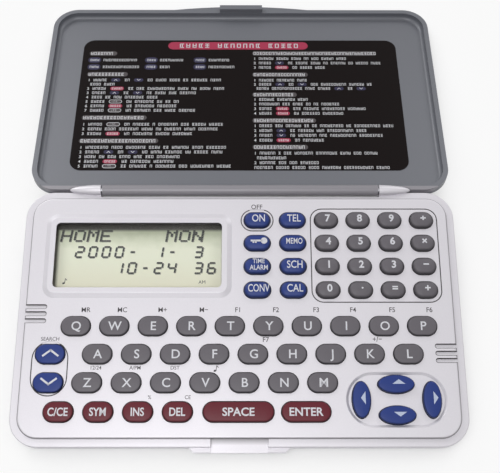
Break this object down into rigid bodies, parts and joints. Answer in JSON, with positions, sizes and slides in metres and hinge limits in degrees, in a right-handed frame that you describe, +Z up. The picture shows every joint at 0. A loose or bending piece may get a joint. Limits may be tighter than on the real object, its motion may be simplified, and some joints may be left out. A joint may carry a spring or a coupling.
{
  "type": "electronic organizer",
  "caption": "Pocket electronic organizer with a hinged lid, letter and number keys, arrow pad and liquid crystal display.",
  "frame": {"origin": "middle of the base's flat underside, on the surface that it stands on", "axes": "+X to the user's right, +Y from the user to the hinge, +Z up"},
  "size_m": [0.125, 0.1504, 0.0151],
  "materials": {
    "silver_plastic": "satin silver moulding",
    "grey_plastic": "smooth grey moulding",
    "grey_key": "satin grey key",
    "blue_key": "satin blue key",
    "red_key": "satin dark red key",
    "clear_window": "clear plastic window",
    "lcd_glass": "liquid crystal panel, grey-green",
    "black_card": "printed black card",
    "black_plastic": "black moulding",
    "rubber": "silicone rubber",
    "board": "green solder mask",
    "black_resin": "black resin",
    "steel": "bright steel",
    "brass": "brass disc"
  },
  "bodies": {
    "base": {"top_case": "silver_plastic", "bottom_case": "silver_plastic", "display_window": "clear_window", "lcd_panel": "lcd_glass", "display_frame": "black_plastic", "contact_strip": "rubber", "keypad_mat": "rubber", "circuit_board": "board", "board_chips": "black_resin", "clock_crystal": "steel", "coin_cell": "steel", "battery_contacts": "steel", "buzzer_disc": "brass", "case_screws": "steel", "hinge_pins": "steel"},
    "lid": {"lid_shell": "grey_plastic", "reference_card": "black_card"},
    "battery_cover": {"battery_cover": "silver_plastic"},
    "letter_keys_top": {"letter_keys_top": "grey_key"},
    "letter_keys_home": {"letter_keys_home": "grey_key"},
    "letter_keys_low": {"letter_keys_low": "grey_key"},
    "key_clear": {"key_clear": "red_key"},
    "key_symbol": {"key_symbol": "red_key"},
    "key_insert": {"key_insert": "red_key"},
    "key_delete": {"key_delete": "red_key"},
    "key_space": {"key_space": "red_key"},
    "key_enter": {"key_enter": "red_key"},
    "key_search_up": {"key_search_up": "blue_key"},
    "key_search_down": {"key_search_down": "blue_key"},
    "key_on": {"key_on": "blue_key"},
    "key_telephone": {"key_telephone": "blue_key"},
    "key_lock": {"key_lock": "blue_key"},
    "key_memo": {"key_memo": "blue_key"},
    "key_time": {"key_time": "blue_key"},
    "key_schedule": {"key_schedule": "blue_key"},
    "key_currency": {"key_currency": "blue_key"},
    "key_calculator": {"key_calculator": "blue_key"},
    "key_7": {"key_7": "grey_key"},
    "key_8": {"key_8": "grey_key"},
    "key_9": {"key_9": "grey_key"},
    "key_divide": {"key_divide": "grey_key"},
    "key_4": {"key_4": "grey_key"},
    "key_5": {"key_5": "grey_key"},
    "key_6": {"key_6": "grey_key"},
    "key_multiply": {"key_multiply": "grey_key"},
    "key_1": {"key_1": "grey_key"},
    "key_2": {"key_2": "grey_key"},
    "key_3": {"key_3": "grey_key"},
    "key_minus": {"key_minus": "grey_key"},
    "key_0": {"key_0": "grey_key"},
    "key_point": {"key_point": "grey_key"},
    "key_equals": {"key_equals": "grey_key"},
    "key_plus": {"key_plus": "grey_key"},
    "key_arrow_left": {"key_arrow_left": "blue_key"},
    "key_arrow_right": {"key_arrow_right": "blue_key"},
    "key_arrow_up": {"key_arrow_up": "blue_key"},
    "key_arrow_down": {"key_arrow_down": "blue_key"}
  },
  "joints": [
    {"name": "lid_hinge", "type": "hinge", "parent": "base", "child": "lid", "pos_m": [0, 0.03706, 0.01335], "axis": [1, 0, 0], "range_deg": [0, 192.4]},
    {"name": "battery_cover_slide", "type": "slide", "parent": "base", "child": "battery_cover", "axis": [0, 1, 0], "range_m": [0, 0.026]},
    {"name": "letter_keys_top_press", "type": "slide", "parent": "base", "child": "letter_keys_top", "axis": [0, 0.0872, -0.9962], "range_m": [0, 0.0006], "stiffness_N_per_m": 600, "deforming": ["keypad_mat"]},
    {"name": "letter_keys_home_press", "type": "slide", "parent": "base", "child": "letter_keys_home", "axis": [0, 0.0872, -0.9962], "range_m": [0, 0.0006], "stiffness_N_per_m": 600, "deforming": ["keypad_mat"]},
    {"name": "letter_keys_low_press", "type": "slide", "parent": "base", "child": "letter_keys_low", "axis": [0, 0.0872, -0.9962], "range_m": [0, 0.0006], "stiffness_N_per_m": 600, "deforming": ["keypad_mat"]},
    {"name": "key_clear_press", "type": "slide", "parent": "base", "child": "key_clear", "axis": [0, 0.0872, -0.9962], "range_m": [0, 0.0006], "stiffness_N_per_m": 600, "deforming": ["keypad_mat"]},
    {"name": "key_symbol_press", "type": "slide", "parent": "base", "child": "key_symbol", "axis": [0, 0.0872, -0.9962], "range_m": [0, 0.0006], "stiffness_N_per_m": 600, "deforming": ["keypad_mat"]},
    {"name": "key_insert_press", "type": "slide", "parent": "base", "child": "key_insert", "axis": [0, 0.0872, -0.9962], "range_m": [0, 0.0006], "stiffness_N_per_m": 600, "deforming": ["keypad_mat"]},
    {"name": "key_delete_press", "type": "slide", "parent": "base", "child": "key_delete", "axis": [0, 0.0872, -0.9962], "range_m": [0, 0.0006], "stiffness_N_per_m": 600, "deforming": ["keypad_mat"]},
    {"name": "key_space_press", "type": "slide", "parent": "base", "child": "key_space", "axis": [0, 0.0872, -0.9962], "range_m": [0, 0.0006], "stiffness_N_per_m": 600, "deforming": ["keypad_mat"]},
    {"name": "key_enter_press", "type": "slide", "parent": "base", "child": "key_enter", "axis": [0, 0.0872, -0.9962], "range_m": [0, 0.0006], "stiffness_N_per_m": 600, "deforming": ["keypad_mat"]},
    {"name": "key_search_up_press", "type": "slide", "parent": "base", "child": "key_search_up", "axis": [0, 0.0872, -0.9962], "range_m": [0, 0.0006], "stiffness_N_per_m": 600, "deforming": ["keypad_mat"]},
    {"name": "key_search_down_press", "type": "slide", "parent": "base", "child": "key_search_down", "axis": [0, 0.0872, -0.9962], "range_m": [0, 0.0006], "stiffness_N_per_m": 600, "deforming": ["keypad_mat"]},
    {"name": "key_on_press", "type": "slide", "parent": "base", "child": "key_on", "axis": [0, 0.0872, -0.9962], "range_m": [0, 0.0006], "stiffness_N_per_m": 600, "deforming": ["keypad_mat"]},
    {"name": "key_telephone_press", "type": "slide", "parent": "base", "child": "key_telephone", "axis": [0, 0.0872, -0.9962], "range_m": [0, 0.0006], "stiffness_N_per_m": 600, "deforming": ["keypad_mat"]},
    {"name": "key_lock_press", "type": "slide", "parent": "base", "child": "key_lock", "axis": [0, 0.0872, -0.9962], "range_m": [0, 0.0006], "stiffness_N_per_m": 600, "deforming": ["keypad_mat"]},
    {"name": "key_memo_press", "type": "slide", "parent": "base", "child": "key_memo", "axis": [0, 0.0872, -0.9962], "range_m": [0, 0.0006], "stiffness_N_per_m": 600, "deforming": ["keypad_mat"]},
    {"name": "key_time_press", "type": "slide", "parent": "base", "child": "key_time", "axis": [0, 0.0872, -0.9962], "range_m": [0, 0.0006], "stiffness_N_per_m": 600, "deforming": ["keypad_mat"]},
    {"name": "key_schedule_press", "type": "slide", "parent": "base", "child": "key_schedule", "axis": [0, 0.0872, -0.9962], "range_m": [0, 0.0006], "stiffness_N_per_m": 600, "deforming": ["keypad_mat"]},
    {"name": "key_currency_press", "type": "slide", "parent": "base", "child": "key_currency", "axis": [0, 0.0872, -0.9962], "range_m": [0, 0.0006], "stiffness_N_per_m": 600, "deforming": ["keypad_mat"]},
    {"name": "key_calculator_press", "type": "slide", "parent": "base", "child": "key_calculator", "axis": [0, 0.0872, -0.9962], "range_m": [0, 0.0006], "stiffness_N_per_m": 600, "deforming": ["keypad_mat"]},
    {"name": "key_7_press", "type": "slide", "parent": "base", "child": "key_7", "axis": [0, 0.0872, -0.9962], "range_m": [0, 0.0006], "stiffness_N_per_m": 600, "deforming": ["keypad_mat"]},
    {"name": "key_8_press", "type": "slide", "parent": "base", "child": "key_8", "axis": [0, 0.0872, -0.9962], "range_m": [0, 0.0006], "stiffness_N_per_m": 600, "deforming": ["keypad_mat"]},
    {"name": "key_9_press", "type": "slide", "parent": "base", "child": "key_9", "axis": [0, 0.0872, -0.9962], "range_m": [0, 0.0006], "stiffness_N_per_m": 600, "deforming": ["keypad_mat"]},
    {"name": "key_divide_press", "type": "slide", "parent": "base", "child": "key_divide", "axis": [0, 0.0872, -0.9962], "range_m": [0, 0.0006], "stiffness_N_per_m": 600, "deforming": ["keypad_mat"]},
    {"name": "key_4_press", "type": "slide", "parent": "base", "child": "key_4", "axis": [0, 0.0872, -0.9962], "range_m": [0, 0.0006], "stiffness_N_per_m": 600, "deforming": ["keypad_mat"]},
    {"name": "key_5_press", "type": "slide", "parent": "base", "child": "key_5", "axis": [0, 0.0872, -0.9962], "range_m": [0, 0.0006], "stiffness_N_per_m": 600, "deforming": ["keypad_mat"]},
    {"name": "key_6_press", "type": "slide", "parent": "base", "child": "key_6", "axis": [0, 0.0872, -0.9962], "range_m": [0, 0.0006], "stiffness_N_per_m": 600, "deforming": ["keypad_mat"]},
    {"name": "key_multiply_press", "type": "slide", "parent": "base", "child": "key_multiply", "axis": [0, 0.0872, -0.9962], "range_m": [0, 0.0006], "stiffness_N_per_m": 600, "deforming": ["keypad_mat"]},
    {"name": "key_1_press", "type": "slide", "parent": "base", "child": "key_1", "axis": [0, 0.0872, -0.9962], "range_m": [0, 0.0006], "stiffness_N_per_m": 600, "deforming": ["keypad_mat"]},
    {"name": "key_2_press", "type": "slide", "parent": "base", "child": "key_2", "axis": [0, 0.0872, -0.9962], "range_m": [0, 0.0006], "stiffness_N_per_m": 600, "deforming": ["keypad_mat"]},
    {"name": "key_3_press", "type": "slide", "parent": "base", "child": "key_3", "axis": [0, 0.0872, -0.9962], "range_m": [0, 0.0006], "stiffness_N_per_m": 600, "deforming": ["keypad_mat"]},
    {"name": "key_minus_press", "type": "slide", "parent": "base", "child": "key_minus", "axis": [0, 0.0872, -0.9962], "range_m": [0, 0.0006], "stiffness_N_per_m": 600, "deforming": ["keypad_mat"]},
    {"name": "key_0_press", "type": "slide", "parent": "base", "child": "key_0", "axis": [0, 0.0872, -0.9962], "range_m": [0, 0.0006], "stiffness_N_per_m": 600, "deforming": ["keypad_mat"]},
    {"name": "key_point_press", "type": "slide", "parent": "base", "child": "key_point", "axis": [0, 0.0872, -0.9962], "range_m": [0, 0.0006], "stiffness_N_per_m": 600, "deforming": ["keypad_mat"]},
    {"name": "key_equals_press", "type": "slide", "parent": "base", "child": "key_equals", "axis": [0, 0.0872, -0.9962], "range_m": [0, 0.0006], "stiffness_N_per_m": 600, "deforming": ["keypad_mat"]},
    {"name": "key_plus_press", "type": "slide", "parent": "base", "child": "key_plus", "axis": [0, 0.0872, -0.9962], "range_m": [0, 0.0006], "stiffness_N_per_m": 600, "deforming": ["keypad_mat"]},
    {"name": "key_arrow_left_press", "type": "slide", "parent": "base", "child": "key_arrow_left", "axis": [0, 0.0872, -0.9962], "range_m": [0, 0.0006], "stiffness_N_per_m": 600, "deforming": ["keypad_mat"]},
    {"name": "key_arrow_right_press", "type": "slide", "parent": "base", "child": "key_arrow_right", "axis": [0, 0.0872, -0.9962], "range_m": [0, 0.0006], "stiffness_N_per_m": 600, "deforming": ["keypad_mat"]},
    {"name": "key_arrow_up_press", "type": "slide", "parent": "base", "child": "key_arrow_up", "axis": [0, 0.0872, -0.9962], "range_m": [0, 0.0006], "stiffness_N_per_m": 600, "deforming": ["keypad_mat"]},
    {"name": "key_arrow_down_press", "type": "slide", "parent": "base", "child": "key_arrow_down", "axis": [0, 0.0872, -0.9962], "range_m": [0, 0.0006], "stiffness_N_per_m": 600, "deforming": ["keypad_mat"]}
  ]
}
